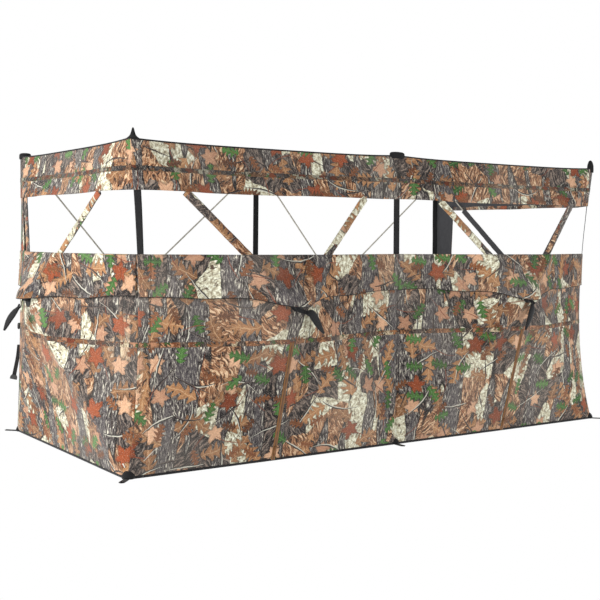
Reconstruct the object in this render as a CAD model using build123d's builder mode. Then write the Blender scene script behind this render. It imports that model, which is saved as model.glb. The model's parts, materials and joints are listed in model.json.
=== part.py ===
from build123d import *
import os
from math import atan2, degrees

os.makedirs("parts", exist_ok=True)

# Pop up ground blind of the hub kind: four popped-out cloth walls, two hubs on each long
# wall and one on each end wall, open at the top.  Millimetres, +Z up, origin on the ground
# at the middle of the plan, X along the long walls, front wall at -Y.

# ---------------------------------------------------------------- driving dimensions
wall_height = 1650.0        # ground to top binding
long_panel = 1665.0         # one hub panel of a long wall
end_panel = 1525.0          # the single hub panel of an end wall
hub_bulge = 216.0           # how far a hub pops its panel outward
hub_raise = 10.0            # hub centre above half the wall height
land = 110.0                # flat square of cloth under a hub's outer cap

cloth = 2.0                 # cloth and its lining
corner_gap = 6.0            # cloth edge to the corner it folds about
ground_gap = 5.0            # hem above the ground
hem_depth = 22.0
near_sill_rise = 247.0      # front and left window sills above the hub axis
far_sill_rise = 205.0       # back and right window sills
head_rise = 563.0           # window heads above the hub axis
back_head_rise = 653.0      # the back wall's taller windows
flap_rise = 50.0            # lower edge of the lowered window cover above the hub axis
flap_top_gap = 4.0          # flap's top edge below the sill
ply_gap = 0.2               # between two sewn plies
fit_gap = 0.3               # between a moving piece and what it passes

rod_radius = 5.0            # pultruded fibreglass pole
glue_gap = 0.05             # pole in its ferrule or cap
ferrule_wall = 1.0
ferrule_length = 58.0
eye_wall = 4.0
cap_wall = 2.0
cap_length = 26.0
cap_floor = 4.0
tip_inset = 32.0            # pole tip to the corner or seam, along the wall
tip_depth = 12.0            # pole tip behind the wall's flat plane
long_tip_drop = 10.0        # long walls' top tips below the wall's top
long_tip_rise = 30.0        # long walls' bottom tips above the ground
end_tip_offset = 24.0       # end walls' tips stay this much inside the long walls' tips

pin_radius = 2.5
pin_gap = 0.05              # running fit of a pole eye on its pin
pin_circle = 30.0           # pin to hub axis
pin_seat = 6.5              # pin in the disc, each side of a slot
disc_rim = 16.0             # pin to the disc's edge
disc_thickness = 25.7
slot_gap = 0.5              # each side of a ferrule in its slot
eye_room = 7.5              # pole eye to the slot's inner end
stud_radius = 4.0
stud_hole_gap = 1.0         # cloth eyelet round the stud
washer_radius = 38.0
washer_thickness = 4.7
boss_radius = 14.0
boss_height = 15.0
boss_roof = 3.0
bail_height = 24.0          # bail bar above the cloth land
ear_thickness = 4.0
ear_depth = 12.0

strap_width = 38.0
strap_thickness = 3.0
strap_length = 175.0
strap_end_hem = 24.0
bail_gap = 0.3              # strap loop on the bail bar
ear_gap = 1.0               # strap edge to each ear

pocket_radius = 50.0
pocket_wall = 2.5
pocket_gap = 1.0            # pocket's mouth above the top binding
corner_pocket_height = 50.0
seam_pocket_height = 26.0
seam_pocket_top = 34.0      # radius of its flat top
pad_radius = 48.0
pad_thickness = 4.0
eyelet_radius = 5.5
eyelet_reach = 66.0         # stake eyelet to the corner
lug_radius = 16.0

web_width = 40.0            # black webbing over each corner and seam at the windows
web_thickness = 1.6
web_overlap = 150.0         # webbing beyond the front window, above and below
web_inset = 8.0             # webbing edge to the corner
tie_width = 25.0            # sewn tie tape at one back corner
tie_length = 185.0
tie_height = 425.0
tie_gap = 2.0

zip_width = 9.0
zip_thickness = 1.6
zip_start = 34.0            # along the door's centre line from the ground
zip_drop = 193.0            # top of a zip, at the lower tape seam, below the hub axis
slider_width = 13.0
slider_length = 22.0
slider_height = 5.0
tab_length = 34.0
tab_width = 8.0
tab_thickness = 2.0

# ---------------------------------------------------------------- derived places
hub_height = wall_height / 2 + hub_raise
half_long = long_panel
half_end = end_panel / 2
near_sill = hub_height + near_sill_rise
far_sill = hub_height + far_sill_rise
window_head = hub_height + head_rise
back_head = hub_height + back_head_rise
flap_hem = hub_height + flap_rise
ferrule_radius = rod_radius + ferrule_wall
cap_radius = rod_radius + cap_wall
eye_radius = pin_radius + eye_wall
bore_radius = pin_radius + pin_gap
pin_level = hub_bulge - cloth - fit_gap - disc_thickness / 2
disc_low = pin_level - disc_thickness / 2
disc_radius = pin_circle + disc_rim
slot_start = pin_circle - eye_radius - eye_room
slot_width = 2 * (ferrule_radius + slot_gap)
pin_length = slot_width + 2 * pin_seat

walls = {
    "front": {"plane": Plane(origin=(0, -half_end, 0), x_dir=(1, 0, 0), z_dir=(0, -1, 0)),
              "half": half_long, "panels": {"front_left": -1, "front_right": 1},
              "sill": near_sill, "head": window_head},
    "left": {"plane": Plane(origin=(-half_long, 0, 0), x_dir=(0, -1, 0), z_dir=(-1, 0, 0)),
             "half": half_end, "panels": {"left": 0},
             "sill": near_sill, "head": window_head},
    "back": {"plane": Plane(origin=(0, half_end, 0), x_dir=(-1, 0, 0), z_dir=(0, 1, 0)),
             "half": half_long, "panels": {"back_right": -1, "back_left": 1},
             "sill": far_sill, "head": back_head},
    "right": {"plane": Plane(origin=(half_long, 0, 0), x_dir=(0, 1, 0), z_dir=(1, 0, 0)),
              "half": half_end, "panels": {"right": 0},
              "sill": far_sill, "head": window_head},
}


def panel_width(wall):
    """A wall's panel is the whole end wall, or half of a long one."""
    return 2 * wall["half"] / len(wall["panels"])


def panel_plane(wall, step):
    """Plane on the ground below a panel's centre; local x along it, y up, z outward."""
    plane = wall["plane"]
    centre = plane.from_local_coords((step * wall["half"] / 2, 0, 0))
    return Plane(origin=centre, x_dir=plane.x_dir, z_dir=plane.z_dir)


def hub_plane(wall, step):
    """Plane behind a hub, on the wall's flat plane at the height of the hub's axis."""
    plane = panel_plane(wall, step)
    centre = plane.from_local_coords((0, hub_height, 0))
    return Plane(origin=centre, x_dir=plane.x_dir, z_dir=plane.z_dir)


def rod_places(wall):
    """In-plane place of each pole tip from the hub axis, by the name of its corner."""
    reach = panel_width(wall) / 2 - tip_inset
    step_in = end_tip_offset if len(wall["panels"]) == 1 else 0.0
    top = wall_height - long_tip_drop - step_in - hub_height
    bottom = long_tip_rise + step_in - hub_height
    return {
        "upper_left": Vector(-reach, top, 0),
        "upper_right": Vector(reach, top, 0),
        "lower_left": Vector(-reach, bottom, 0),
        "lower_right": Vector(reach, bottom, 0),
    }


def rod_ends(wall, step, corner):
    """World points of a pole's hub pin and tip, and the direction of its pin."""
    plane = hub_plane(wall, step)
    place = rod_places(wall)[corner]
    toward = place.normalized()
    pin = plane.from_local_coords(toward * pin_circle + Vector(0, 0, pin_level))
    tip = plane.from_local_coords(place - Vector(0, 0, tip_depth))
    outward = (plane.from_local_coords(toward) - plane.origin).normalized()
    return pin, tip, outward.cross(plane.z_dir).normalized()


def facet_plane(wall, step):
    """Plane of a panel's lower cloth facet: local x along the wall, y up the slope."""
    plane = panel_plane(wall, step)
    rise = hub_height - land / 2
    normal = plane.z_dir * rise - plane.y_dir * hub_bulge
    return Plane(origin=plane.origin, x_dir=plane.x_dir, z_dir=normal)


# ---------------------------------------------------------------- cloth
def cloth_strip(wall, low, high, lift=0.0):
    """Strip of a wall's popped-out cloth between two heights, closed round the sides."""
    width = panel_width(wall)
    with BuildPart() as strip:
        for step in wall["panels"].values():
            plane = panel_plane(wall, step).offset(lift)
            for depth in (-cloth, 0.0):
                with BuildSketch(plane.offset(depth)):
                    with Locations((0, wall_height / 2)):
                        Rectangle(width, wall_height)
            with BuildSketch(plane.offset(hub_bulge)):
                with Locations((0, hub_height)):
                    Rectangle(land, land)
            loft(ruled=True)
            with BuildSketch(plane.offset(-cloth)):
                with Locations((0, wall_height / 2)):
                    Rectangle(width, wall_height)
            with BuildSketch(plane.offset(hub_bulge - cloth)):
                with Locations((0, hub_height)):
                    Rectangle(land, land)
            loft(ruled=True, mode=Mode.SUBTRACT)
            with BuildSketch(plane.offset(hub_bulge)):
                with Locations((0, hub_height)):
                    Circle(stud_radius + stud_hole_gap)
            extrude(amount=-2 * cloth, mode=Mode.SUBTRACT)
        with BuildSketch(wall["plane"].offset(-2 * cloth)):
            with Locations((0, (low + high) / 2)):
                Rectangle(2 * (wall["half"] - corner_gap), high - low)
        extrude(amount=hub_bulge + lift + 4 * cloth, mode=Mode.INTERSECT)
    return strip


def cloth_pieces(wall):
    """Lowest and highest edge and lift of each strip that a wall's cloth is cut in."""
    return {
        "hem": (ground_gap, ground_gap + hem_depth, 0.0),
        "wall": (ground_gap + hem_depth, wall["sill"], 0.0),
        "window_flap": (flap_hem, wall["sill"] - flap_top_gap, cloth + ply_gap),
        "upper_band": (wall["head"], wall_height, 0.0),
    }


for wall_name, wall in walls.items():
    for piece_name, (low, high, lift) in cloth_pieces(wall).items():
        strip = cloth_strip(wall, low, high, lift)
        strip.part.label = f"{wall_name}_{piece_name}"
        export_step(strip.part, f"parts/{wall_name}_{piece_name}.step")


# ---------------------------------------------------------------- poles
def make_rod(pin, tip, side):
    """Pole with an eyed metal ferrule on the hub's pin and a moulded cap at its tip."""
    along = (tip - pin).normalized()
    length = (tip - pin).length
    pole = Plane(origin=pin, x_dir=side, z_dir=along)
    eye = Plane(origin=pin, x_dir=along, z_dir=side).offset(-ferrule_radius)
    pole_start = 2 * eye_radius
    pole_end = length - cap_floor
    with BuildPart() as rod:
        with BuildSketch(eye):
            Circle(eye_radius)
            with Locations((eye_radius, 0)):
                Rectangle(2 * eye_radius, 2 * ferrule_radius - 1)
        extrude(amount=2 * ferrule_radius)
        with BuildSketch(pole.offset(2 * eye_radius - 1)):
            Circle(ferrule_radius)
        extrude(amount=ferrule_length - 2 * eye_radius + 1)
        with BuildSketch(eye):
            Circle(bore_radius)
        extrude(amount=2 * ferrule_radius, mode=Mode.SUBTRACT)
        with BuildSketch(pole.offset(length - cap_length)):
            Circle(cap_radius)
        cap = extrude(amount=cap_length)
        fillet(cap.edges().group_by(lambda edge: (edge.center() - pin).length)[-1], cap_radius / 2)
        with BuildSketch(pole.offset(pole_start)):
            Circle(rod_radius + glue_gap)
        extrude(amount=pole_end - pole_start, mode=Mode.SUBTRACT)
        with BuildSketch(pole.offset(pole_start + glue_gap)):
            Circle(rod_radius)
        extrude(amount=pole_end - pole_start - 2 * glue_gap)
    return rod


for wall in walls.values():
    for panel_name, step in wall["panels"].items():
        for corner in rod_places(wall):
            rod = make_rod(*rod_ends(wall, step, corner))
            rod.part.label = f"{panel_name}_{corner}_rod"
            export_step(rod.part, f"parts/{panel_name}_{corner}_rod.step")


# ---------------------------------------------------------------- hubs
def make_hub(wall, step):
    """Slotted disc with four pole pins, its stud, and the outer cap with a strap bail."""
    plane = hub_plane(wall, step)
    bail = plane.offset(hub_bulge + bail_height)
    bail_half = strap_width / 2 + ear_gap + ear_thickness
    with BuildPart() as hub:
        with BuildSketch(plane.offset(disc_low)):
            Circle(disc_radius)
            for place in rod_places(wall).values():
                with PolarLocations((slot_start + 2 * disc_radius) / 2, 1,
                                    start_angle=degrees(atan2(place.Y, place.X))):
                    Rectangle(2 * disc_radius - slot_start, slot_width, mode=Mode.SUBTRACT)
        extrude(amount=disc_thickness)
        for corner in rod_places(wall):
            pin, tip, side = rod_ends(wall, step, corner)
            cross = Plane(origin=pin, x_dir=plane.z_dir, z_dir=side)
            with BuildSketch(cross):
                Circle(bore_radius)
            extrude(amount=pin_length / 2, both=True, mode=Mode.SUBTRACT)
            with BuildSketch(cross):
                Circle(pin_radius)
            extrude(amount=pin_length / 2 - pin_gap, both=True)
        with BuildSketch(plane.offset(disc_low + disc_thickness)):
            Circle(stud_radius)
        extrude(amount=cloth + 2 * fit_gap + boss_height - boss_roof)
        with BuildSketch(plane.offset(hub_bulge + fit_gap)):
            Circle(washer_radius)
            Circle(stud_radius + pin_gap, mode=Mode.SUBTRACT)
        extrude(amount=washer_thickness)
        with BuildSketch(plane.offset(hub_bulge + fit_gap + washer_thickness)):
            Circle(boss_radius)
        extrude(amount=boss_height - washer_thickness, taper=12)
        with BuildSketch(plane.offset(hub_bulge + fit_gap)):
            Circle(stud_radius + pin_gap)
            Circle(stud_radius, mode=Mode.SUBTRACT)
        extrude(amount=boss_height - boss_roof, mode=Mode.SUBTRACT)
        with BuildSketch(plane.offset(hub_bulge + fit_gap + boss_height - boss_roof)):
            Circle(stud_radius + pin_gap)
        extrude(amount=pin_gap, mode=Mode.SUBTRACT)
        for turn in (-1, 1):
            with BuildSketch(plane.offset(hub_bulge + fit_gap + washer_thickness)):
                with Locations((turn * (bail_half - ear_thickness / 2), 0)):
                    Rectangle(ear_thickness, ear_depth)
            extrude(amount=bail_height - fit_gap - washer_thickness + ear_depth / 3)
        with BuildSketch(Plane(origin=bail.origin, x_dir=plane.z_dir, z_dir=plane.x_dir)):
            Circle(pin_radius)
        extrude(amount=bail_half - ear_thickness / 2, both=True)
    return hub


def make_strap(wall, step):
    """Pull strap: webbing sewn into a loop on the bail, hanging straight down."""
    plane = hub_plane(wall, step)
    bail = plane.offset(hub_bulge + bail_height).origin
    loop_radius = pin_radius + bail_gap + strap_thickness
    section = Plane(origin=bail + plane.x_dir * (strap_width / 2), x_dir=plane.z_dir,
                    z_dir=plane.x_dir * -1)
    with BuildPart() as strap:
        with BuildSketch(section):
            Circle(loop_radius)
            with Locations((0, -(loop_radius - 1 + strap_length) / 2)):
                Rectangle(strap_thickness, strap_length - loop_radius + 1)
            with Locations((0, -strap_length + strap_end_hem / 2)):
                Rectangle(2 * strap_thickness, strap_end_hem)
            Circle(pin_radius + bail_gap, mode=Mode.SUBTRACT)
        extrude(amount=strap_width)
    return strap


for wall in walls.values():
    for panel_name, step in wall["panels"].items():
        hub = make_hub(wall, step)
        hub.part.label = f"{panel_name}_hub"
        export_step(hub.part, f"parts/{panel_name}_hub.step")
        strap = make_strap(wall, step)
        strap.part.label = f"{panel_name}_pull_strap"
        export_step(strap.part, f"parts/{panel_name}_pull_strap.step")


# ---------------------------------------------------------------- pockets and ground pads
def make_pockets(side):
    """Cloth caps over a long wall's three top points, and its three ground pads."""
    with BuildPart() as pockets:
        for step in (-1, 0, 1):
            x, y = step * half_long, side * half_end
            height = corner_pocket_height if step else seam_pocket_height
            top_radius = pocket_wall if step else seam_pocket_top
            base = wall_height + pocket_gap
            with BuildSketch(Plane(origin=(x, y, base), x_dir=(1, 0, 0), z_dir=(0, -1, 0))):
                with BuildLine():
                    Polyline((0, height), (top_radius, height), (pocket_radius, 0),
                             (pocket_radius - pocket_wall, 0),
                             (top_radius - pocket_wall / 2, height - pocket_wall),
                             (0, height - pocket_wall), close=True)
                make_face()
            revolve(axis=Axis((x, y, base), (0, 0, 1)))
            away = Vector(step, side, 0).normalized()
            eyelet = Vector(x, y, 0) + away * eyelet_reach
            with BuildSketch(Plane.XY):
                with Locations((x, y)):
                    Circle(pad_radius)
                with Locations((eyelet.X, eyelet.Y)):
                    Circle(lug_radius)
                    Circle(eyelet_radius, mode=Mode.SUBTRACT)
            extrude(amount=pad_thickness)
    return pockets


def make_webs(wall):
    """Black webbing up the corners and the middle seam of a long wall's windows."""
    plane = wall["plane"].offset(-2 * cloth)
    reach = half_long - web_inset - web_width / 2
    low = wall["sill"] - web_overlap
    high = walls["front"]["head"] + web_overlap
    middle, height = (low + high) / 2, high - low
    with BuildPart() as webs:
        with BuildSketch(plane):
            with Locations((-reach, middle), (0, middle), (reach, middle)):
                Rectangle(web_width, height)
        extrude(amount=web_thickness)
    return webs


for side, wall_name in ((-1, "front"), (1, "back")):
    pockets = make_pockets(side)
    pockets.part.label = f"{wall_name}_pockets_and_pads"
    export_step(pockets.part, f"parts/{wall_name}_pockets_and_pads.step")
    webs = make_webs(walls[wall_name])
    webs.part.label = f"{wall_name}_corner_webbing"
    export_step(webs.part, f"parts/{wall_name}_corner_webbing.step")

# Tie tape sewn to the back left corner, hanging down the outside of the end wall.
with BuildPart() as tie:
    left = walls["left"]["plane"]
    with BuildSketch(left.offset(tie_gap)):
        with Locations((-half_end - tie_width / 2 + corner_gap, tie_height)):
            Rectangle(tie_width, tie_length)
    extrude(amount=cloth)
tie.part.label = "corner_tie_tape"
export_step(tie.part, "parts/corner_tie_tape.step")


# ---------------------------------------------------------------- door zips
zip_facets = {name: facet_plane(walls["front"], step)
              for name, step in walls["front"]["panels"].items()}
slope = (hub_height - land / 2) / Vector(hub_height - land / 2, hub_bulge, 0).length
zip_end = (hub_height - zip_drop) / slope

with BuildPart() as zips:
    for facet in zip_facets.values():
        with BuildSketch(facet.offset(ply_gap)):
            with Locations((0, (zip_start + zip_end) / 2)):
                Rectangle(zip_width, zip_end - zip_start)
        extrude(amount=zip_thickness)
zips.part.label = "door_zips"
export_step(zips.part, "parts/door_zips.step")


def make_slider(facet):
    """Zip slider with its pull tab lying down the zip."""
    seat = facet.offset(ply_gap + zip_thickness + fit_gap)
    with BuildPart() as slider:
        with BuildSketch(seat):
            with Locations((0, zip_start + tab_length + slider_length / 2)):
                RectangleRounded(slider_width, slider_length, slider_width / 3)
        extrude(amount=slider_height)
        with BuildSketch(seat.offset(slider_height - tab_thickness)):
            with Locations((0, zip_start + tab_length / 2 + slider_length / 4)):
                SlotOverall(tab_length + slider_length / 2, tab_width, rotation=90)
        extrude(amount=tab_thickness)
    return slider


for panel_name, facet in zip_facets.items():
    slider = make_slider(facet)
    slider.part.label = f"{panel_name}_zip_slider"
    export_step(slider.part, f"parts/{panel_name}_zip_slider.step")
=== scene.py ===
import bmesh
import bpy
import json
import math
import numpy as np
from mathutils import Matrix, Vector

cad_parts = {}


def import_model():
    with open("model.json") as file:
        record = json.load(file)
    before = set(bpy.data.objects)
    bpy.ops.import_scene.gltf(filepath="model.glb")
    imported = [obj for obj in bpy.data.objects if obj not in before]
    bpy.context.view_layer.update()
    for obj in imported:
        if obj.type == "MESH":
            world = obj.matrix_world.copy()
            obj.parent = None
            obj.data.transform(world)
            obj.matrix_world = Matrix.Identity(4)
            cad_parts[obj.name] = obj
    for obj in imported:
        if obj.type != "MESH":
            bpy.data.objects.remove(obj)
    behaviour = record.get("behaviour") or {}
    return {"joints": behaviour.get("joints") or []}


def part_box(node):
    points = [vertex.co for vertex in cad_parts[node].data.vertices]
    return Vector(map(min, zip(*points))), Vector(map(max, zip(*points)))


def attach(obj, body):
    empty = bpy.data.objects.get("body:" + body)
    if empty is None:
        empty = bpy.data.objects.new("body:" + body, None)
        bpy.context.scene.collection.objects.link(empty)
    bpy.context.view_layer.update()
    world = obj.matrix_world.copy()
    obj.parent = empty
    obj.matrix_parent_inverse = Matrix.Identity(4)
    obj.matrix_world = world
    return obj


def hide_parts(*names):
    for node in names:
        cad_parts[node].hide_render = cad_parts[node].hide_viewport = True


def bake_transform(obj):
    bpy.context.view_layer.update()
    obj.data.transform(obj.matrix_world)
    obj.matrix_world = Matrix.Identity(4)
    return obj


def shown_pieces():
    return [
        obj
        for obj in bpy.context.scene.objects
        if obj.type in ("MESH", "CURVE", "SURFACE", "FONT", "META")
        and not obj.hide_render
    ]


# Looks of the pop up ground blind.  Metres, +Z up, origin on the ground at the middle of the
# plan, X along the long walls, front wall at -Y.  Sizes come from the CAD frame.

JOINTS = {joint["name"]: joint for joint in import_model()["joints"]}
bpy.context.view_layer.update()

# ---------------------------------------------------------------- sizes from the frame
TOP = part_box("front_upper_band")[1].z
HALF_LONG = abs(JOINTS["side_fold"]["pos_m"][0])
HALF_END = abs(JOINTS["side_fold"]["pos_m"][1])
HUB_Z = JOINTS["left_strap_swing"]["pos_m"][2]
BAIL_N = abs(JOINTS["left_strap_swing"]["pos_m"][0]) - HALF_LONG
BULGE = abs(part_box("left_wall")[0].x) - HALF_LONG
HEM_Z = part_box("front_hem")[0].z
FLAP_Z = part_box("front_window_flap")[0].z
LAND = 0.055                 # half the flat of cloth under a hub cap

# ---------------------------------------------------------------- chosen sizes of the cloth
CLOTH = 0.0016               # cloth with its lining
CORNER = 0.085               # cloth of a corner strip, each side of the seam
SLACK = 0.135                # cloth by a corner that stays still when the hub is pushed in
PULL_LONG = 0.075            # how far tension draws a front corner's seam in, along X
PULL_END = 0.045             # and along Y
BACK_PULL = 0.10             # share of that at the back corners
SEAM_LEVEL = 0.642           # middle of the lower printed tape
BAND_TAPE_LEVEL = 1.505      # middle of the upper band's printed tape
TAPE = 0.026
BINDING = 0.014              # black binding along the bottom edge
TOP_BINDING = 0.009          # and along the top edge
FOLD = 0.024                 # print folded back inside a band's lower edge
FAN, DIAGONAL, BROAD, FINE = 0.0050, 0.0045, 0.0055, 0.0020     # depths of the cloth's folds
SAG = 0.030                  # how far cloth between the poles falls in
TOP_SAG = 0.013              # and its top edge down
EDGE_WAVE = 0.006            # waviness of a free edge at the windows
TAPE_RAISE, BINDING_RAISE = 0.0014, 0.0020
EASE = 1.04                  # flat cloth over the same cloth's width in the popped panel
COVER_TUCK = 0.004           # window cover folded over its sill
COVER_STAND, COVER_FLARE, COVER_RIPPLE = 0.0035, 0.009, 0.0060
BAIL_BUMP = 0.034            # how far the hub's bail lifts its cover
WEB_THICKNESS = 0.0015
GRID = 0.0135                # mesh step of the cloth
CORNER_COLUMNS = 9           # mesh columns of each half of a corner strip


def srgb(red, green, blue):
    """Linear colour of an ordinary 0 to 255 one."""
    return tuple((c / 12.92 if c <= 0.04045 else ((c + 0.055) / 1.055) ** 2.4)
                 for c in (red / 255, green / 255, blue / 255)) + (1.0,)


# ================================================================ materials
THREAD = 0.0022              # pitch of the cloth's threads


class Wire:
    """A number in a node tree, for ordinary arithmetic."""

    def __init__(self, nodes, socket):
        self.nodes, self.socket = nodes, socket

    def __add__(self, other):
        return self.nodes.math("ADD", self, other)

    def __sub__(self, other):
        return self.nodes.math("SUBTRACT", self, other)

    def __rsub__(self, other):
        return self.nodes.math("SUBTRACT", other, self)

    def __mul__(self, other):
        return self.nodes.math("MULTIPLY", self, other)

    def __truediv__(self, other):
        return self.nodes.math("DIVIDE", self, other)

    def __abs__(self):
        return self.nodes.math("ABSOLUTE", self)


class Nodes:
    """Short helpers for building one material's or group's node tree."""

    def __init__(self, tree):
        self.tree = tree

    def new(self, kind, **values):
        node = self.tree.nodes.new(kind)
        for key, value in values.items():
            setattr(node, key, value)
        return node

    def put(self, socket, value):
        """Links another node's value, or sets a constant."""
        value = value.socket if isinstance(value, Wire) else value
        if isinstance(value, bpy.types.NodeSocket):
            self.tree.links.new(value, socket)
        else:
            socket.default_value = value

    def math(self, operation, *values):
        node = self.new("ShaderNodeMath", operation=operation)
        for socket, value in zip(node.inputs, values):
            self.put(socket, value)
        return Wire(self, node.outputs[0])

    def vector(self, operation, first, second=(0, 0, 0), scale=None):
        node = self.new("ShaderNodeVectorMath", operation=operation)
        self.put(node.inputs[0], first)
        self.put(node.inputs[1], second)
        if scale is not None:
            self.put(node.inputs["Scale"], scale)
        return node.outputs["Vector"]

    def mix(self, share, first, second, blend="MIX"):
        node = self.new("ShaderNodeMix", data_type="RGBA", blend_type=blend)
        self.put(node.inputs[0], share)
        self.put(node.inputs[6], first)
        self.put(node.inputs[7], second)
        return node.outputs[2]

    def noise(self, vector, scale, detail=2.0, roughness=0.5, distortion=0.0, kind="2D",
              output=0):
        node = self.new("ShaderNodeTexNoise", noise_dimensions=kind)
        self.put(node.inputs["Vector"], vector)
        node.inputs["Scale"].default_value = scale
        node.inputs["Detail"].default_value = detail
        node.inputs["Roughness"].default_value = roughness
        node.inputs["Distortion"].default_value = distortion
        return Wire(self, node.outputs[output])

    def ramp(self, value, *stops):
        node = self.new("ShaderNodeValToRGB")
        elements = node.color_ramp.elements
        while len(elements) < len(stops):
            elements.new(0.5)
        for element, (place, colour) in zip(elements, stops):
            element.position = place
            element.color = srgb(*colour)
        self.put(node.inputs[0], value)
        return node.outputs[0]

    def step(self, value, low, high):
        """0 below low, 1 above high, smooth between; low may be the larger."""
        node = self.new("ShaderNodeMapRange", interpolation_type="SMOOTHSTEP")
        self.put(node.inputs[0], value)
        node.inputs[1].default_value = low
        node.inputs[2].default_value = high
        return Wire(self, node.outputs[0])

    def turn(self, vector, angle):
        node = self.new("ShaderNodeVectorRotate", rotation_type="Z_AXIS")
        self.put(node.inputs["Vector"], vector)
        self.put(node.inputs["Angle"], angle)
        return node.outputs[0]

    def split(self, vector):
        node = self.new("ShaderNodeSeparateXYZ")
        self.put(node.inputs[0], vector)
        return [Wire(self, socket) for socket in node.outputs]

    def join(self, x, y, z=0.0):
        node = self.new("ShaderNodeCombineXYZ")
        for socket, value in zip(node.inputs, (x, y, z)):
            self.put(socket, value)
        return node.outputs[0]

    def cells(self, vector, scale, randomness):
        node = self.new("ShaderNodeTexVoronoi", voronoi_dimensions="2D")
        self.put(node.inputs["Vector"], vector)
        node.inputs["Scale"].default_value = scale
        node.inputs["Randomness"].default_value = randomness
        return node.outputs

    def bump(self, height, distance):
        node = self.new("ShaderNodeBump")
        node.inputs["Distance"].default_value = distance
        self.put(node.inputs["Height"], height)
        return node.outputs[0]

    def finish(self, result, kind="ShaderNodeOutputMaterial"):
        self.put(self.new(kind).inputs[0], result)


def scattered(n, place, cell, seed):
    """Local coordinates about the nearest of many scattered points, turned at random."""
    moved = n.vector("ADD", place, (seed * 7.31, seed * 3.77, 0))
    out = n.cells(moved, 1 / cell, 0.72)
    offset = n.vector("SUBTRACT", moved, out["Position"])
    chance = n.split(out["Color"])
    return n.split(n.turn(offset, chance[0] * math.tau)), chance


def maple(n, place, cell, size, keep, seed):
    """(shape value below 1 inside a maple leaf, vein value, chances) of scattered leaves."""
    (x, y, _), chance = scattered(n, place, cell, seed)
    away = n.math("SQRT", x * x + y * y)
    angle = n.math("ARCTAN2", y, x)
    lobes = n.math("PINGPONG", angle * (5 / math.pi), 1.0)
    teeth = n.math("PINGPONG", angle * (19 / math.pi), 1.0)
    reach = n.math("POWER", lobes, 1.3) * 0.50 + 0.47 + teeth * 0.13
    reach = reach * (n.math("COSINE", angle) * 0.16 + 0.9) * size
    gone = n.math("GREATER_THAN", chance[1], keep)
    return away / reach + gone * 9.0, n.step(lobes, 0.90, 0.985), chance


def oak(n, place, cell, length, width, keep, seed, lobe=0.030):
    """The same for long lobed oak leaves."""
    (x, y, _), chance = scattered(n, place, cell, seed)
    along = x / (length / 2)
    body = n.math("SQRT", n.math("MAXIMUM", 1.0 - along * along, 0.0004))
    lean = x - abs(y) * 0.45
    waves = n.math("SINE", lean * (math.tau / lobe))
    half = body * (waves * 0.36 + 0.62) * (width / 2)
    outside = n.math("GREATER_THAN", abs(along), 1.0)
    gone = n.math("GREATER_THAN", chance[1], keep)
    shape = abs(y) / n.math("MAXIMUM", half, 0.0006) + n.math("MAXIMUM", gone, outside) * 9.0
    ribs = n.step(n.math("PINGPONG", lean / (lobe * 0.5), 1.0), 0.86, 0.97)
    return shape, n.math("MAXIMUM", n.step(abs(y), 0.0028, 0.0010), ribs * 0.6), chance


def lay_leaf(n, under, leaf, dark, light, vein_colour, mottle):
    """Paints one layer of leaves, with a drop shadow, over the print below."""
    shape, vein, chance = leaf
    under = n.mix(n.step(shape, 1.5, 1.0) * 0.42, under, srgb(34, 27, 24))
    tone = mottle * 0.75 + (chance[2] * 0.45 - 0.12)
    colour = n.mix(n.math("MINIMUM", n.math("MAXIMUM", tone, 0.0), 1.0), dark, light)
    colour = n.mix(n.step(shape, 0.72, 1.0) * 0.38, colour, srgb(48, 34, 26))
    colour = n.mix(vein * 0.38, colour, vein_colour)
    return n.mix(n.step(shape, 1.03, 0.97), under, colour)


def branch(n, place, cell, reach, width, keep, seed):
    """0 to 1 mask of long thin twigs, and how far across each one a point lies."""
    (x, y, _), chance = scattered(n, place, cell, seed)
    across = y + x * x * (chance[2] * 6.0 - 3.0)
    taper = n.math("MAXIMUM", 1.0 - abs(x) / reach, 0.0)
    half = taper * (width / 2) * n.math("LESS_THAN", chance[1], keep)
    share = across / n.math("MAXIMUM", half, 0.00002)
    return n.step(abs(share), 1.15, 0.85), share


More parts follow.
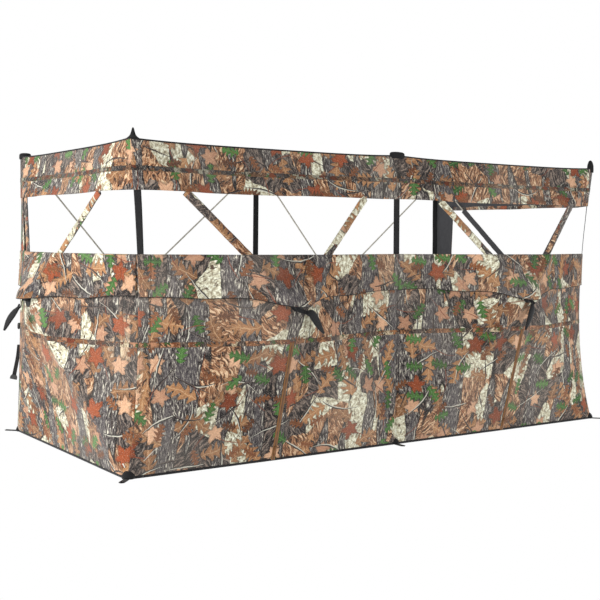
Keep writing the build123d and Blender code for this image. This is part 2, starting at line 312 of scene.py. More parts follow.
def camo_print():
    """Node group: the printed woodland camouflage, from cloth coordinates in metres."""
    group = bpy.data.node_groups.new("woodland_print", "ShaderNodeTree")
    group.interface.new_socket("Place", in_out="INPUT", socket_type="NodeSocketVector")
    group.interface.new_socket("Colour", in_out="OUTPUT", socket_type="NodeSocketColor")
    n = Nodes(group)
    place = n.new("NodeGroupInput").outputs[0]
    wander = n.noise(place, 9.0, 3.0, 0.6, output="Color")
    wander = n.vector("SUBTRACT", wander, (0.5, 0.5, 0.5))
    bent = n.vector("ADD", place, n.vector("SCALE", wander, scale=0.050))
    rough = n.vector("ADD", place, n.vector("SCALE", wander, scale=0.016))
    mottle = n.noise(place, 55.0, 4.0, 0.65)
    grit = n.noise(place, 190.0, 3.0, 0.7)

    # litter and pale ground in patches, each with its own lean
    kind = n.split(n.cells(bent, 6.2, 1.0)["Color"])
    grain = n.split(n.turn(bent, (kind[2] - 0.5) * 2.2))
    streak = n.noise(n.join(grain[0] * 84.0, grain[1] * 21.0), 1.0, 4.0, 0.66, 0.5)
    litter = n.ramp(streak, (0.36, (46, 32, 27)), (0.45, (112, 74, 52)),
                    (0.54, (164, 116, 84)), (0.65, (216, 182, 150)))
    pale = n.ramp(mottle, (0.34, (148, 132, 110)), (0.50, (200, 188, 164)),
                  (0.66, (232, 224, 206)))
    pale = n.mix(n.step(streak, 0.42, 0.36), pale, srgb(84, 64, 50))
    dusk = n.ramp(streak, (0.38, (30, 25, 26)), (0.50, (70, 59, 57)),
                  (0.62, (142, 122, 110)))
    ink = n.mix(n.step(kind[0], 0.40, 0.405), litter, pale)
    ink = n.mix(n.step(kind[0], 0.68, 0.685), ink, dusk)

    # upright trunks with long dark fissures in their bark
    spot = n.split(rough)
    trunk = n.noise(n.join(spot[0] * 7.5, spot[1] * 1.1), 1.0, 1.0, 0.4)
    fissures = n.noise(n.join(spot[0] * 128.0, spot[1] * 30.0), 1.0, 4.0, 0.68, 0.4)
    bark = n.ramp(fissures, (0.38, (24, 19, 21)), (0.47, (72, 62, 62)),
                  (0.57, (122, 111, 107)), (0.68, (222, 209, 190)))
    ink = n.mix(n.step(trunk, 0.522, 0.534), ink, srgb(38, 32, 32))
    ink = n.mix(n.step(trunk, 0.540, 0.548), ink, bark)
    slate = n.mix(0.5, bark, srgb(88, 80, 82))
    ink = n.mix(n.step(trunk, 0.660, 0.666), ink, slate)

    # layers of leaves, oldest first, with twigs between them
    def leaves(below, leaf, dark, light, vein):
        return lay_leaf(n, below, leaf, srgb(*dark), srgb(*light), srgb(*vein), mottle)

    ink = leaves(ink, oak(n, bent, 0.165, 0.160, 0.094, 0.62, 1, 0.036),
                 (98, 62, 42), (190, 138, 96), (222, 184, 146))
    ink = leaves(ink, maple(n, rough, 0.175, 0.058, 0.46, 2),
                 (150, 102, 80), (226, 180, 146), (124, 78, 60))
    twig, side = branch(n, rough, 0.24, 0.155, 0.014, 0.72, 6)
    ink = n.mix(twig, ink, n.mix(n.step(side, -0.2, 0.5), srgb(44, 36, 38), srgb(196, 186, 172)))
    twig, side = branch(n, rough, 0.19, 0.130, 0.010, 0.70, 7)
    ink = n.mix(twig, ink, n.mix(n.step(side, -0.4, 0.8), srgb(38, 30, 31), srgb(100, 84, 78)))
    ink = leaves(ink, maple(n, rough, 0.215, 0.064, 0.40, 3),
                 (92, 42, 24), (176, 92, 54), (84, 36, 22))
    ink = leaves(ink, oak(n, rough, 0.155, 0.104, 0.070, 0.42, 4, 0.028),
                 (26, 50, 24), (92, 130, 66), (112, 146, 84))
    twig, _ = branch(n, rough, 0.21, 0.120, 0.0045, 0.75, 8)
    ink = n.mix(twig, ink, srgb(128, 66, 44))
    ink = leaves(ink, oak(n, rough, 0.140, 0.090, 0.054, 0.36, 5, 0.022),
                 (64, 38, 28), (160, 100, 62), (52, 32, 25))

    # pale and dark grit over everything, then a little more contrast
    ink = n.mix(n.step(grit, 0.60, 0.70), ink, n.mix(0.35, ink, srgb(218, 206, 190)))
    ink = n.mix(n.step(grit, 0.42, 0.32), ink, n.mix(0.45, ink, srgb(24, 20, 20)))
    deeper = n.new("ShaderNodeGamma")
    n.put(deeper.inputs["Color"], ink)
    deeper.inputs["Gamma"].default_value = 1.12
    n.finish(n.vector("MULTIPLY", deeper.outputs[0], (1.13, 1.25, 1.27)), "NodeGroupOutput")
    return group


def cloth_finish(n, material_colour, place, roughness, weave=0.00012, crumple=0.0016):
    """Woven surface: matte shader with thread bump and soft creases."""
    shader = n.new("ShaderNodeBsdfPrincipled")
    n.put(shader.inputs["Base Color"], material_colour)
    warp, weft = [n.math("SINE", axis * (math.tau / THREAD)) for axis in n.split(place)[:2]]
    creases = n.noise(place, 15.0, 4.0, 0.55, 0.4)
    n.put(shader.inputs["Normal"], n.bump(creases * crumple + warp * weft * weave, 1.0))
    worn = n.noise(place, 24.0, 3.0, 0.6)
    n.put(shader.inputs["Roughness"], worn * 0.16 + (roughness - 0.08))
    shader.inputs["Specular IOR Level"].default_value = 0.25
    shader.inputs["Sheen Weight"].default_value = 0.10
    shader.inputs["Sheen Roughness"].default_value = 0.5
    n.finish(shader.outputs[0])


def new_material(name):
    """An empty material and the helpers to fill it."""
    material = bpy.data.materials.new(name)
    material.use_nodes = True
    material.node_tree.nodes.clear()
    return material, Nodes(material.node_tree)


def camo_material(name, print_group, darken=None, strength=0.0, stretch=1.0):
    """Printed cloth; tapes print darker or warmer, and narrower."""
    material, n = new_material(name)
    place = n.new("ShaderNodeUVMap", uv_map="cloth").outputs[0]
    node = n.new("ShaderNodeGroup", node_tree=print_group)
    n.put(node.inputs[0], n.vector("MULTIPLY", place, (stretch, stretch, 1)))
    colour = node.outputs[0]
    if darken:
        colour = n.mix(strength, colour, darken, "MULTIPLY")
    fade = n.step(n.noise(place, 1.7, 2.0), 0.35, 0.75)
    colour = n.mix(fade * 0.10, colour, srgb(205, 196, 184))
    cloth_finish(n, colour, place, 0.86)
    return material


def plain_cloth(name, dark, light, roughness, rib=None, crumple=0.0010):
    """Dyed cloth or webbing; rib is the pitch of its woven ribs."""
    material, n = new_material(name)
    place = n.new("ShaderNodeUVMap", uv_map="cloth").outputs[0]
    colour = n.mix(n.noise(place, 30.0, 4.0, 0.6), dark, light)
    if rib:
        ribs = n.math("SINE", n.split(place)[0] * (math.tau / rib))
        colour = n.mix(ribs * 0.12 + 0.12, colour, light)
        cloth_finish(n, colour, place, roughness, weave=0.00022, crumple=0.0003)
    else:
        cloth_finish(n, colour, place, roughness, crumple=crumple)
    return material


def moulded(name, dark, light, roughness, metallic=0.0, grain=420.0):
    """Moulded or drawn part, patterned from its own place in the frame."""
    material, n = new_material(name)
    place = n.new("ShaderNodeTexCoord").outputs["Object"]
    wear = n.noise(place, 31.0, 5.0, kind="3D")
    shader = n.new("ShaderNodeBsdfPrincipled")
    n.put(shader.inputs["Base Color"], n.mix(n.step(wear, 0.4, 0.72), dark, light))
    n.put(shader.inputs["Roughness"], wear * 0.25 + (roughness - 0.12))
    shader.inputs["Metallic"].default_value = metallic
    n.put(shader.inputs["Normal"], n.bump(n.noise(place, grain, 3.0, kind="3D"), 0.00006))
    n.finish(shader.outputs[0])
    return material


PRINT = camo_print()
CAMO = camo_material("camo_cloth", PRINT)
SEAM_TAPE = camo_material("camo_seam_tape", PRINT, srgb(206, 168, 132), 0.55, 1.6)
DARK_TAPE = camo_material("camo_dark_tape", PRINT, srgb(110, 104, 102), 0.62, 2.2)
LINING = plain_cloth("dark_lining", srgb(62, 62, 65), srgb(78, 78, 80), 0.8)
# black binding on the strips' edges; on the window covers' bottom rows the same black is a painted
# shadow
BINDING_AND_PAINTED_SHADOW = plain_cloth("black_binding", srgb(14, 13, 14), srgb(30, 29, 30), 0.75)
WEBBING = plain_cloth("black_webbing", srgb(5, 5, 6), srgb(22, 22, 24), 0.55, rib=0.0105)
POCKET = plain_cloth("black_corner_cloth", srgb(11, 11, 12), srgb(24, 24, 25), 0.8,
                     crumple=0.0022)
ZIP_TAPE = plain_cloth("brown_zip_tape", srgb(104, 70, 40), srgb(146, 104, 62), 0.7)
ZIP_COIL = moulded("zip_coil", srgb(84, 54, 32), srgb(128, 88, 54), 0.45)
FIBREGLASS = moulded("fibreglass", srgb(178, 173, 160), srgb(204, 199, 186), 0.42,
                     grain=900.0)
HUB_PLASTIC = moulded("hub_plastic", srgb(20, 20, 20), srgb(38, 38, 39), 0.5)
SLIDER_METAL = moulded("slider_metal", srgb(92, 62, 38), srgb(140, 100, 66), 0.38, 0.7)
STEEL = moulded("ring_metal", srgb(28, 28, 30), srgb(60, 60, 63), 0.34, 0.6)

# ================================================================ the walls
WALLS = {
    "front": {"origin": (0, -HALF_END), "u": (1, 0), "n": (0, -1), "half": HALF_LONG,
              "body": "front", "panels": {"front_left": -1, "front_right": 1}, "seed": 11},
    "left": {"origin": (-HALF_LONG, 0), "u": (0, -1), "n": (-1, 0), "half": HALF_END,
             "body": "left_end", "panels": {"left": 0}, "seed": 23},
    "back": {"origin": (0, HALF_END), "u": (-1, 0), "n": (0, 1), "half": HALF_LONG,
             "body": "back", "panels": {"back_right": -1, "back_left": 1}, "seed": 37},
    "right": {"origin": (HALF_LONG, 0), "u": (0, 1), "n": (1, 0), "half": HALF_END,
              "body": "right_end", "panels": {"right": 0}, "seed": 51},
}
for wall_name, wall in WALLS.items():
    wall["name"] = wall_name
    wall["panel"] = wall["half"] * 2 / len(wall["panels"])
    wall["sill"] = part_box(f"{wall_name}_wall")[1].z
    wall["head"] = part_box(f"{wall_name}_upper_band")[0].z
    long_wall = len(wall["panels"]) == 2
    wall["ends"] = {"front": (1.0, 1.0), "back": (BACK_PULL, BACK_PULL),
                    "left": (BACK_PULL, 1.0), "right": (1.0, BACK_PULL)}[wall_name]
    wall["pull_u"], wall["pull_n"] = (PULL_LONG, PULL_END) if long_wall else (PULL_END, PULL_LONG)


def world(wall, u, z, n):
    """Frame points, or one point, of wall coordinates: u along it, z up, n outward."""
    x = wall["origin"][0] + wall["u"][0] * u + wall["n"][0] * n
    y = wall["origin"][1] + wall["u"][1] * u + wall["n"][1] * n
    return np.stack([x + 0 * z, y + 0 * z, z + 0 * u], axis=-1)


def lattice(x, y, seed):
    """Smooth noise from -1 to 1 on a unit lattice, the same every run."""
    values = np.random.default_rng(seed).uniform(-1, 1, (64, 64))
    left, low = np.floor(x).astype(int), np.floor(y).astype(int)
    fx, fy = x - left, y - low
    fx, fy = fx * fx * (3 - 2 * fx), fy * fy * (3 - 2 * fy)

    def at(i, j):
        return values[(left + i) % 64, (low + j) % 64]
    return ((at(0, 0) * (1 - fx) + at(1, 0) * fx) * (1 - fy)
            + (at(0, 1) * (1 - fx) + at(1, 1) * fx) * fy)


def smaller(first, second, soft):
    """The smaller of two, rounded where they cross."""
    return (first + second - np.sqrt((first - second) ** 2 + soft ** 2)) / 2


def seam_share(z):
    """How far tension has drawn a corner seam in at a height, from 0 to 1."""
    return np.sin(np.pi * np.clip(z / TOP, 0, 1) ** 0.8)


def surface(wall, step, side, z):
    """A panel's outer cloth face.  side runs from -1 to 1 across the panel, z is the height."""
    half = wall["panel"] / 2
    centre = step * wall["half"] / 2
    seed = wall["seed"] + 5 * step
    spread = np.abs(side)
    across = (1 - spread) / (1 - LAND / half)
    below = z / (HUB_Z - LAND)
    above = (TOP - z) / (TOP - HUB_Z - LAND)
    rise = smaller(smaller(across, below, 0.022), smaller(above, 1.0 + 0 * z, 0.02), 0.022)
    ordered = np.sort(np.stack([across, below, above]), axis=0)
    free = np.clip((ordered[1] - ordered[0]) / np.maximum(1.07 - ordered[0], 0.05), 0, 1)
    sag = SAG * (1 - (1 - free) ** 2) * np.sin(np.pi * np.clip(rise, 0, 1))
    n = BULGE * np.clip(rise, 0, 1)

    # tension folds fan out from the hub, with broad and fine unevenness between
    x, y = side * half, z - HUB_Z
    away = np.hypot(x, y)
    turn = np.arctan2(y, x)
    edge = np.clip((1 - spread) * half / 0.09, 0, 1) * np.clip((TOP - z) / 0.05, 0, 1)
    edge = edge * np.clip(z / 0.05, 0, 1)
    fan = np.sin(11 * turn + 2.6 * lattice(turn * 2 + 9, away * 3, seed))
    fan = fan * np.exp(-((away - 0.24) / 0.26) ** 2) * np.clip((away - 0.06) / 0.1, 0, 1)
    skew = 7 * (x + 0.6 * y * np.sign(x)) + 1.8 * lattice(x * 3, y * 3, seed + 1)
    diagonal = np.sin(skew) * np.clip(away - 0.3, 0, 1)
    broad = lattice(x * 4 + 20, y * 4 + 20, seed + 2)
    fine = lattice(x * 13 + 30, y * 11 + 30, seed + 3)
    loose = edge * (FAN * fan + DIAGONAL * diagonal + BROAD * broad + FINE * fine) - sag
    if wall["name"] == "front":      # a door zip keeps its line straight
        loose = loose * (1 - np.exp(-(x / 0.07) ** 4) * np.clip((0.70 - z) / 0.05, 0, 1))
    n = n + loose

    # the corner seams are drawn in; a middle seam is not
    drawn = seam_share(z)
    at_corner = (step == 0) | (np.sign(side) == step)
    taut = np.where(side < 0, wall["ends"][0], wall["ends"][1])
    pull = np.where(at_corner, drawn * taut * spread ** 5, 0.0)
    u = centre + side * half - np.sign(side) * wall["pull_u"] * pull
    n = n - wall["pull_n"] * pull
    # between its tips the top edge hangs a little
    top_share = np.clip((z - HUB_Z) / (TOP - HUB_Z), 0, 1) ** 3
    height = z - TOP_SAG * top_share * (1 - spread ** 4)
    return u, height, n


def edge_lines(low, high, breaks):
    """Mesh rows from low to high at about the grid step, with a close pair at each break."""
    fixed = sorted({low, high, *[b + d for b in breaks for d in (-0.0006, 0.0006)]})
    lines = []
    for start, end in zip(fixed, fixed[1:]):
        count = max(1, round((end - start) / GRID))
        lines += list(np.linspace(start, end, count, endpoint=False))
    return np.array(lines + [high])


def normals_of(points):
    """Unit normals of a grid of points, outward for u across and z up seen from outside."""
    across = np.gradient(points, axis=1)
    up = np.gradient(points, axis=0)
    normal = np.cross(across, up)
    return normal / np.maximum(np.linalg.norm(normal, axis=-1, keepdims=True), 1e-9)


def area_of(points):
    """Area of a grid of points and its longest row and column."""
    across = np.diff(points, axis=1)
    up = np.diff(points, axis=0)
    cells = np.linalg.norm(np.cross(across[:-1], up[:, :-1]), axis=-1).sum()
    return (float(cells), float(np.linalg.norm(across, axis=-1).sum(axis=1).max()),
            float(np.linalg.norm(up, axis=-1).sum(axis=0).max()))


def add_object(name, data, materials=()):
    """Puts a mesh, camera or light into the scene."""
    for material in materials:
        data.materials.append(material)
    piece = bpy.data.objects.new(name, data)
    bpy.context.scene.collection.objects.link(piece)
    return piece


def thick_grid(name, grids, materials, row_material, thickness=CLOTH, inner=None):
    """Cloth of a real thickness from grids of points, each (points, uv); rows go upward.
    row_material gives a face's material from its grid and row; inner is the inside's."""
    vertices, faces, uvs, used, smooth = [], [], [], [], []
    inner = len(materials) - 1 if inner is None else inner
    for number, (points, uv) in enumerate(grids):
        rows, columns = points.shape[:2]
        normal = normals_of(points)
        base = len(vertices)
        vertices += points.reshape(-1, 3).tolist()
        vertices += (points - normal * thickness).reshape(-1, 3).tolist()
        flat_uv = uv.reshape(-1, 2)
        back = rows * columns

        def face(corners, shift, material):
            faces.append([base + c + shift for c in corners])
            uvs.extend(flat_uv[c] for c in corners)
            used.append(material)

        for i in range(rows - 1):
            for j in range(columns - 1):
                material = row_material(number, i, j)
                a, b = i * columns + j, i * columns + j + 1
                c, d = b + columns, a + columns
                face((a, b, c, d), 0, material)
                face((d, c, b, a), back, inner if material != 1 else material)
                smooth += [True, True]
        rim = ([(i * columns, (i + 1) * columns, i) for i in range(rows - 1)]
               + [((i + 2) * columns - 1, (i + 1) * columns - 1, i) for i in range(rows - 1)])
        rim += [(j + 1, j, 0) for j in range(columns - 1)]
        last = (rows - 1) * columns
        rim += [(last + j, last + j + 1, rows - 2) for j in range(columns - 1)]
        for a, b, row in rim:
            faces.append([base + a, base + b, base + back + b, base + back + a])
            uvs.extend(flat_uv[c] for c in (a, b, b, a))
            used.append(row_material(number, row, 0))
            smooth.append(False)
    mesh = bpy.data.meshes.new(name)
    mesh.from_pydata(vertices, [], faces)
    layer = mesh.uv_layers.new(name="cloth")
    layer.data.foreach_set("uv", np.array(uvs, np.float32).ravel())
    mesh.polygons.foreach_set("material_index", used)
    mesh.polygons.foreach_set("use_smooth", smooth)
    mesh.validate()
    mesh.update()
    return add_object(name, mesh, materials)


def declare_sheet(grids):
    """Works out a piece's cut size from its grids, laid flat; the result is not kept."""
    sizes = [area_of(points) for points, _ in grids]
    area = sum(s[0] for s in sizes)
    width, length = sum(s[1] for s in sizes), max(s[2] for s in sizes)
    min(area, width * length)


def settle(piece, body, stands_for=None, grids=None):
    """Hides the node a piece stands for, gives the piece its body and, if cloth, works out its cut
    size.
    """
    if stands_for:
        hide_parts(stands_for)
    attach(piece, body)
    if grids:
        declare_sheet(grids)


def strip_plan(wall, kind):
    """Heights, breaks and print offset of one of a wall's strips of cloth."""
    seed = wall["seed"]
    if kind == "lower":
        tape = (SEAM_LEVEL - TAPE / 2, SEAM_LEVEL + TAPE / 2)
        rows = edge_lines(HEM_Z, wall["sill"], [HEM_Z + BINDING, *tape])
        return rows, tape, (HEM_Z, HEM_Z + BINDING), (0.31 * seed, 0.0)
    tape = (BAND_TAPE_LEVEL - TAPE / 2, BAND_TAPE_LEVEL + TAPE / 2)
    rows = edge_lines(wall["head"], TOP, [TOP - TOP_BINDING, *tape])
    if tape[0] < wall["head"] + 0.01:
        tape = (9, 9)
    return rows, tape, (TOP - TOP_BINDING, TOP), (0.17 * seed + 4, 0.2)


def cloth_grid(wall, step, sides, kind):
    """Outer points and print coordinates of part of a wall or band strip."""
    rows, tape, binding, shift = strip_plan(wall, kind)
    side, z = np.meshgrid(sides, rows)
    u, height, n = surface(wall, step, side, z)
    bound = (z > binding[0] - 1e-6) & (z < binding[1] + 1e-6)
    raised = TAPE_RAISE * ((z > tape[0]) & (z < tape[1])) + BINDING_RAISE * bound
    # the strip's free edge waves a little between the poles
    free_edge = wall["sill"] - z if kind == "lower" else z - wall["head"]
    x = side * wall["panel"] / 2
    wave = EDGE_WAVE * lattice(x * 5, x * 0 + 3.3, wall["seed"] + 8) * np.exp(-free_edge / 0.05)
    wave = wave * np.clip((1 - np.abs(side)) * 6, 0, 1)
    height = height + wave * 0.7
    points = world(wall, u, height, n + raised + wave)
    return points, np.stack([x + step * wall["half"] / 2 + shift[0], z + shift[1]], axis=-1)


def strip_materials(wall, kind):
    """Which material a strip's mesh row has: 0 print, 1 black binding, 2 tape."""
    rows, tape, binding, _ = strip_plan(wall, kind)

    def pick(number, row, column):
        middle = (rows[row] + rows[row + 1]) / 2
        if binding[0] < middle < binding[1]:
            return 1
        return 2 if tape[0] < middle < tape[1] else 0
    return pick


CORNERS = {  # the corner's two walls, and whether one joint joins them
    "front_left": ("left", "front", True),
    "front_right": ("front", "right", True),
    "back_left": ("back", "left", True),
    "back_right": ("right", "back", False),
}


def every_panel():
    """Wall, panel name and step of each hub panel."""
    return [(wall, panel, step) for wall in WALLS.values()
            for panel, step in wall["panels"].items()]


def outer_step(wall, end):
    """Step of the panel at a wall's right (1) or left (-1) end, seen from outside."""
    return 0 if len(wall["panels"]) == 1 else end


def panel_sides(wall, step):
    """Mesh columns of a panel, which stop short of a corner's strip."""
    half = wall["panel"] / 2
    cut = CORNER / half
    low = -1 + cut if step in (0, -1) else -1
    high = 1 - cut if step in (0, 1) else 1
    return np.linspace(low, high, max(2, round((high - low) * half / GRID)))


STRIPS = {"lower": (SEAM_TAPE, ("wall", "hem")), "band": (DARK_TAPE, ("upper_band",))}
# material 1 of a cover is its painted shadow along the bottom edge
COVER = [CAMO, BINDING_AND_PAINTED_SHADOW, LINING]


def build_panels():
    """Lower wall and upper band of each panel, between its corner strips and seams."""
    for wall, panel, step in every_panel():
        for kind, (tape, nodes) in STRIPS.items():
            popped_cloth(f"{panel}_{kind}_cloth", wall, panel, step,
                         cloth_grid(wall, step, panel_sides(wall, step), kind),
                         [CAMO, BINDING_AND_PAINTED_SHADOW, tape, LINING], strip_materials(wall, kind),
                         [f"{wall['name']}_{node}" for node in nodes],
                         wall["head"] + FOLD if kind == "band" else 0.0)


def panel_facets(wall, step):
    """The four facets of a popped panel: name, its two corners and where its edge is, each
    as (along the wall from the hub, height).  Facets meet on straight lines to the hub."""
    half = wall["panel"] / 2
    left = -half + (SLACK if step in (0, -1) else 0)
    right = half - (SLACK if step in (0, 1) else 0)
    corners = [(left, 0.0), (right, 0.0), (right, TOP), (left, TOP)]
    edges = [(0.0, 0.0), (right, HUB_Z), (0.0, TOP), (left, HUB_Z)]
    names = ["bottom", "right", "top", "left"]
    return [(name, corners[k], corners[(k + 1) % 4], edges[k]) for k, name in enumerate(names)]


def cut_facet(mesh, wall, step, first, second):
    """Cuts a one-layer mesh down to the wedge between two corners of a panel and its hub."""
    centre = step * wall["half"] / 2
    hub = Vector(world(wall, centre, HUB_Z, 0.0))
    along, up = Vector((*wall["u"], 0)), Vector((0, 0, 1))
    first, second = [Vector((u, z - HUB_Z)) for u, z in (first, second)]
    for line, kept in ((first, second), (second, first)):
        normal = kept - line * (kept.dot(line) / line.length_squared)
        normal = (along * normal.x + up * normal.y).normalized()
        bmesh.ops.bisect_plane(mesh, geom=mesh.verts[:] + mesh.edges[:] + mesh.faces[:],
                               plane_co=hub, plane_no=normal, clear_inner=True, dist=1e-5)


def back_layer(mesh, shift, inner, fold):
    """Gives a one-layer mesh its thickness: a lining behind it, with the printed cloth
    folded back up to the height fold, and a flat rim."""
    layer = mesh.loops.layers.uv["cloth"]
    outer, rim = mesh.faces[:], [edge for edge in mesh.edges if edge.is_boundary]
    twin = {vert: mesh.verts.new(vert.co + shift) for vert in mesh.verts[:]}
    for face in outer:
        back = mesh.faces.new([twin[vert] for vert in reversed(face.verts)])
        folded = face.calc_center_median().z < fold
        back.material_index = face.material_index if folded or face.material_index == 1 else inner
        back.smooth = True
        for loop, old in zip(back.loops, reversed(face.loops)):
            loop[layer].uv = old[layer].uv
    for edge in rim:
        loop = edge.link_loops[0]
        a, b = loop.vert, loop.link_loop_next.vert
        side = mesh.faces.new([b, a, twin[a], twin[b]])
        side.material_index = loop.face.material_index
        side.smooth = False
        for corner, old in zip(side.loops, (loop.link_loop_next, loop, loop, loop.link_loop_next)):
            corner[layer].uv = old[layer].uv


def hub_blend(piece, wall, panel, step, edge):
    """Bakes the piece's place into its mesh; the hub and the edge's start are worked out but not
    used.
    """
    centre = step * wall["half"] / 2
    start = Vector(world(wall, centre + edge[0], edge[1], 0.0))
    hub = Vector(world(wall, centre, HUB_Z, 0.0))
    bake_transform(piece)


def popped_cloth(name, wall, panel, step, grid, materials, pick, nodes, fold=0.0):
    """Pieces of one strip of cloth over a panel, one for each facet that it crosses."""
    points, uv = grid
    rows, columns = points.shape[:2]
    shift = Vector((*wall["n"], 0)) * -CLOTH
    for facet, first, second, edge in panel_facets(wall, step):
        build = bmesh.new()
        layer = build.loops.layers.uv.new("cloth")
        verts = [build.verts.new(p) for p in points.reshape(-1, 3).tolist()]
        spots = uv.reshape(-1, 2)
        for i in range(rows - 1):
            for j in range(columns - 1):
                a = i * columns + j
                ring = (a, a + 1, a + columns + 1, a + columns)
                face = build.faces.new([verts[k] for k in ring])
                face.material_index = pick(0, i, j)
                face.smooth = True
                for loop, k in zip(face.loops, ring):
                    loop[layer].uv = spots[k]
        cut_facet(build, wall, step, first, second)
        if not build.faces:
            build.free()
            continue
        area = sum(face.calc_area() for face in build.faces)
        spread = [vert.co.xy.dot(Vector(wall["u"])) for vert in build.verts]
        heights = [vert.co.z for vert in build.verts]
        back_layer(build, shift, len(materials) - 1, fold)
        mesh = bpy.data.meshes.new(f"{name}_{facet}")
        build.to_mesh(mesh)
        build.free()
        piece = add_object(f"{name}_{facet}", mesh, materials)
        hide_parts(*nodes)
        width = (max(spread) - min(spread)) * EASE
        length = (max(heights) - min(heights)) * EASE
        max(length, area / width)
        hub_blend(piece, wall, panel, step, edge)


def ride_corner(piece, first, second):
    """Bakes a corner strip's place into its mesh; its ends on both walls are worked out but not
    used.
    """
    corner = world(first, first["half"], HUB_Z, 0.0)
    start = Vector(corner) - Vector((*first["u"], 0)) * CORNER
    end = Vector(corner) + Vector((*second["u"], 0)) * CORNER
    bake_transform(piece)


def corner_cloth(name, corner, grid_of, materials, pick_of):
    """Cloth round an upright corner: one piece, or one for each wall at the open corner."""
    *names, joined = CORNERS[corner]
    walls = [WALLS[wall_name] for wall_name in names]
    first_cut, second_cut = [CORNER / (wall["panel"] / 2) for wall in walls]
    sides = (np.linspace(1 - first_cut, 1, CORNER_COLUMNS),
             np.linspace(-1, -1 + second_cut, CORNER_COLUMNS))
    grids = [grid_of(wall, outer_step(wall, end), side)
             for wall, end, side in zip(walls, (1, -1), sides)]
    picks = [pick_of(wall) for wall in walls]
    if joined:
        piece = thick_grid(name, grids, materials, lambda number, row, column:
                           picks[number](number, row, column))
        declare_sheet(grids)
        ride_corner(piece, *walls)
        return
    for wall, grid, pick in zip(walls, grids, picks):
        piece = thick_grid(f"{name}_{wall['name']}", [grid], materials, pick)
        settle(piece, wall["body"], None, [grid])


def build_corners():
    """Wall and band cloth round the four upright corners."""
    for corner in CORNERS:
        for kind, (tape, _) in STRIPS.items():
            corner_cloth(f"{corner}_corner_{kind}_cloth", corner,
                         lambda wall, step, sides: cloth_grid(wall, step, sides, kind),
                         [CAMO, BINDING_AND_PAINTED_SHADOW, tape, LINING],
                         lambda wall: strip_materials(wall, kind))


# ---------------------------------------------------------------- lowered window covers
def flap_grid(wall, step, sides):
    """The lowered cover: folded over the sill, it hangs over the wall and the hub."""
    half = wall["panel"] / 2
    top = wall["sill"] + COVER_TUCK
    share = np.concatenate([np.linspace(0, 0.1, 4), np.linspace(0.14, 0.984, 16), [1.0]])[::-1]
    side, k = np.meshgrid(sides, share)
    x = side * half
    seed = wall["seed"] + 7 * step
    hub_dip = (0.066 if wall["name"] == "front" else 0.040) * np.exp(-(x / 0.20) ** 2)
    bottom = (FLAP_Z - COVER_TUCK - hub_dip + 0.010 * lattice(x * 3.1, x * 0 + 1.5, seed)
              - 0.016 * np.exp(-((np.abs(x) - 0.42) / 0.16) ** 2))
    z = top + (bottom - top) * k
    u, height, n = surface(wall, step, side, z)
    ripple = (np.sin(x * 21 + 2.2 * lattice(x * 3, k, seed + 1)) * 0.6
              + np.sin(x * 43 + 3 * lattice(x * 5, k, seed + 2)) * 0.4)
    ends = np.clip((1 - np.abs(side)) * half / 0.06, 0, 1)
    stand = COVER_STAND + COVER_FLARE * k + COVER_RIPPLE * ripple * k ** 0.8 * ends
    stand = stand + 0.010 * (k ** 3) * np.exp(-(x / 0.5) ** 2)
    # it drapes over the hub cap and its bail
    over = np.exp(-((np.hypot(x, (height - HUB_Z) * 0.9)) / 0.085) ** 4)
    n = n + stand + over * BAIL_BUMP
    n = np.where(k == 0, n - COVER_TUCK, n)
    points = world(wall, u, height, n)
    u = x + step * wall["half"] / 2 + 0.23 * wall["seed"] + 8.3
    return points, np.stack([u, -k * (top - bottom)], axis=-1)


def plain(number, row, column):
    """One material all over."""
    return 0


def painted_shadow_hem(number, row, column):
    """The cover's bottom row is painted black: a painted shadow along its lower edge."""
    return 1 if row == 0 else 0


def build_flaps():
    """One cover per panel and, at each corner, its two ends sewn round the seam."""
    # each cover's bottom row is painted black as a shadow under its edge
    for wall, panel, step in every_panel():
        popped_cloth(f"{panel}_window_cover", wall, panel, step,
                     flap_grid(wall, step, panel_sides(wall, step)), COVER, painted_shadow_hem,
                     [f"{wall['name']}_window_flap"])
    for corner in CORNERS:
        corner_cloth(f"{corner}_corner_window_cover", corner, flap_grid, COVER,
                     lambda wall: painted_shadow_hem)


build_panels()
build_corners()
build_flaps()

# ================================================================ straps, sleeves, pockets
def black_webbing(name, grids, body, stands_for, thickness=WEB_THICKNESS):
    """A strap or strip of webbing of a real thickness."""
    piece = thick_grid(name, grids, [WEBBING, WEBBING], plain, thickness)
    settle(piece, body, stands_for, grids)


def unit(vectors):
    """Vectors drawn to a length of 1."""
    return vectors / np.linalg.norm(vectors, axis=-1, keepdims=True)


def path_grid(path, across, widths, columns, dish):
    """Points of a ribbon: rows along a path, columns across it, hollowed by dish."""
    across = np.array(across, float) * np.ones_like(path)
    share = np.linspace(-1, 1, columns)
    along = np.concatenate([[0], np.cumsum(np.linalg.norm(np.diff(path, axis=0), axis=1))])
    offsets = (np.array(widths, float) * np.ones(len(path)))[:, None] / 2 * share
    face = unit(np.cross(across, np.gradient(path, axis=0)))
    points = (path[:, None] + across[:, None] * offsets[:, :, None]
              + face[:, None] * (dish * (1 - share ** 2))[None, :, None])
    return points, np.stack([offsets, along[:, None] + 0 * share], axis=-1)


def smooth_path(corners, count):
    """Even points on a smooth curve through a few corners."""
    corners = np.array(corners, float)
    ends = np.concatenate([[2 * corners[0] - corners[1]], corners,
                           [2 * corners[-1] - corners[-2]]])
    result = []
    for t in np.linspace(0, len(corners) - 1 - 1e-9, count):
        i, f = int(t), t - int(t)
        a, b, c, d = ends[i:i + 4]
        result.append(((2 * b) + (c - a) * f + (2 * a - 5 * b + 4 * c - d) * f ** 2
                       + (3 * b - a - 3 * c + d) * f ** 3) / 2)
    return np.array(result)


